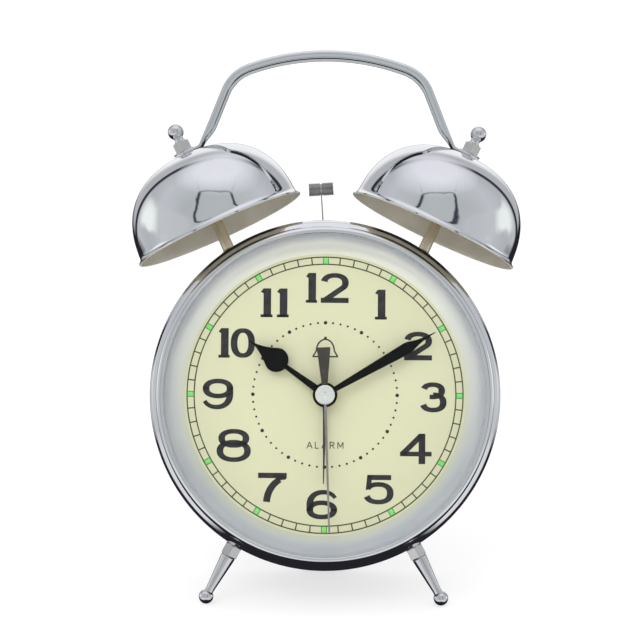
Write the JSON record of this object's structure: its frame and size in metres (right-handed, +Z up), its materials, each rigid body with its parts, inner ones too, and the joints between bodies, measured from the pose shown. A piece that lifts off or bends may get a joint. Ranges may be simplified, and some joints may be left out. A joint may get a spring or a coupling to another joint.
{
  "type": "twin bell alarm clock",
  "caption": "Round metal desk clock with a domed glass, two tilted bells struck by a hammer between them, a carrying handle and splayed turned feet.",
  "frame": {"origin": "middle of the bounding box's base, on the surface that the clock stands on", "axes": "+Z up, +X to the right of someone facing the dial, +Y to the rear; the dial axis leans back from -Y"},
  "size_m": [0.1194, 0.0688, 0.1631],
  "materials": {
    "black_plastic": "moulded black",
    "board": "green board",
    "brass": "turned brass",
    "bright_ring": "bright anodised",
    "cell_jacket": "printed jacket",
    "chrome": "polished chrome plate",
    "copper": "enamelled copper winding",
    "dial_cream": "cream matt print",
    "glass": "clear domed glass",
    "hand_black": "satin black",
    "magnet": "sintered magnet",
    "rubber": "soft rubber",
    "satin_nickel": "satin nickel plate",
    "silver": "turned silver",
    "steel": "plain steel",
    "white_plastic": "moulded natural white"
  },
  "bodies": {
    "case": {"case_shell": "chrome", "bezel_ring": "chrome", "lens": "glass", "lens_gasket": "rubber", "reflector_ring": "bright_ring", "dial_plate": "dial_cream", "dial_nut": "brass", "dial_carrier": "white_plastic", "movement_front": "black_plastic", "movement_rear": "black_plastic", "movement_screws": "steel", "circuit_board": "board", "stator": "steel", "drive_coil": "copper", "alarm_contact": "brass", "rear_cover": "black_plastic", "cover_screws": "steel", "cells": "cell_jacket", "contact_plates": "steel", "contact_springs": "steel", "strike_frame": "steel", "strike_screws": "steel", "strike_motor": "steel", "hammer_spring": "steel", "bell_left": "chrome", "bell_right": "chrome", "bell_posts": "satin_nickel", "bell_washers": "satin_nickel", "bell_nuts": "satin_nickel", "finials": "satin_nickel", "handle": "chrome", "case_nuts": "steel", "foot_left": "satin_nickel", "foot_right": "satin_nickel", "foot_collars": "satin_nickel"},
    "minute": {"minute_hand": "hand_black", "cannon_tube": "white_plastic"},
    "hour": {"hour_hand": "hand_black", "hour_wheel": "white_plastic"},
    "motion": {"motion_wheel": "white_plastic"},
    "time_set": {"time_set_knob": "black_plastic", "time_set_pinion": "white_plastic"},
    "second": {"second_hand": "hand_black", "second_hand_boss": "silver", "seconds_wheel": "white_plastic"},
    "third": {"third_wheel": "white_plastic"},
    "centre": {"centre_wheel": "white_plastic"},
    "fifth": {"fifth_wheel": "white_plastic"},
    "rotor": {"rotor": "magnet"},
    "alarm": {"alarm_hand": "hand_black", "alarm_wheel": "white_plastic"},
    "alarm_set": {"alarm_set_knob": "black_plastic", "alarm_set_pinion": "white_plastic"},
    "hammer": {"hammer_arm": "steel", "hammer_wire": "steel", "hammer_head": "satin_nickel"},
    "strike": {"strike_wheel": "white_plastic"},
    "motor_shaft": {"motor_pinion": "white_plastic"},
    "switch": {"alarm_switch": "black_plastic"},
    "battery_lid": {"battery_door": "black_plastic"}
  },
  "joints": [
    {"name": "minute_spin", "type": "hinge", "parent": "case", "child": "minute", "pos_m": [0, -0.00406, 0.05927], "axis": [0, 0.9717, -0.2363], "continuous": true},
    {"name": "hour_spin", "type": "hinge", "parent": "case", "child": "hour", "pos_m": [0, -0.00406, 0.05927], "axis": [0, 0.9717, -0.2363], "continuous": true},
    {"name": "motion_spin", "type": "hinge", "parent": "case", "child": "motion", "pos_m": [-0.009, -0.00406, 0.05927], "axis": [0, 0.9717, -0.2363], "continuous": true},
    {"name": "time_set_spin", "type": "hinge", "parent": "case", "child": "time_set", "pos_m": [-0.01406, -0.00199, 0.06779], "axis": [0, 0.9717, -0.2363], "continuous": true},
    {"name": "second_spin", "type": "hinge", "parent": "case", "child": "second", "pos_m": [0, -0.00406, 0.05927], "axis": [0, 0.9717, -0.2363], "continuous": true},
    {"name": "third_spin", "type": "hinge", "parent": "case", "child": "third", "pos_m": [0, -0.00708, 0.04688], "axis": [0, 0.9717, -0.2363], "continuous": true},
    {"name": "centre_spin", "type": "hinge", "parent": "case", "child": "centre", "pos_m": [0, -0.00406, 0.05927], "axis": [0, 0.9717, -0.2363], "continuous": true},
    {"name": "fifth_spin", "type": "hinge", "parent": "case", "child": "fifth", "pos_m": [0, -0.00158, 0.06947], "axis": [0, 0.9717, -0.2363], "continuous": true},
    {"name": "rotor_spin", "type": "hinge", "parent": "case", "child": "rotor", "pos_m": [0.00779, -0.00052, 0.07384], "axis": [0, 0.9717, -0.2363], "continuous": true},
    {"name": "alarm_spin", "type": "hinge", "parent": "case", "child": "alarm", "pos_m": [0, -0.00406, 0.05927], "axis": [0, 0.9717, -0.2363], "continuous": true},
    {"name": "alarm_set_spin", "type": "hinge", "parent": "case", "child": "alarm_set", "pos_m": [0.00976, -0.00199, 0.06779], "axis": [0, 0.9717, -0.2363], "continuous": true},
    {"name": "strike_spin", "type": "hinge", "parent": "case", "child": "strike", "pos_m": [0, 0.00291, 0.08793], "axis": [0, 0.9717, -0.2363], "continuous": true},
    {"name": "motor_spin", "type": "hinge", "parent": "case", "child": "motor_shaft", "pos_m": [0.00855, 0.00291, 0.08793], "axis": [0, 0.9717, -0.2363], "continuous": true},
    {"name": "hammer_swing", "type": "hinge", "parent": "case", "child": "hammer", "pos_m": [0, 0.00492, 0.09619], "axis": [0, 0.9717, -0.2363], "range_deg": [-5.5, 13.1], "stiffness_Nm_per_rad": 0.004},
    {"name": "switch_slide", "type": "slide", "parent": "case", "child": "switch", "axis": [1, 0, 0], "range_m": [0, 0.004]},
    {"name": "battery_door_hinge", "type": "hinge", "parent": "case", "child": "battery_lid", "pos_m": [0, 0.00777, 0.0144], "axis": [-1, 0, 0], "range_deg": [0, 75]}
  ],
  "couplings": [
    {"joint": "hour_spin", "follows": "minute_spin", "ratio": 0.083333},
    {"joint": "motion_spin", "follows": "minute_spin", "ratio": -0.33333},
    {"joint": "time_set_spin", "follows": "minute_spin", "ratio": 0.66667},
    {"joint": "third_spin", "follows": "second_spin", "ratio": -0.13333},
    {"joint": "centre_spin", "follows": "second_spin", "ratio": 0.016667},
    {"joint": "fifth_spin", "follows": "second_spin", "ratio": -6},
    {"joint": "rotor_spin", "follows": "second_spin", "ratio": 30},
    {"joint": "alarm_set_spin", "follows": "alarm_spin", "ratio": -1.3333},
    {"joint": "motor_spin", "follows": "strike_spin", "ratio": -2.8}
  ]
}
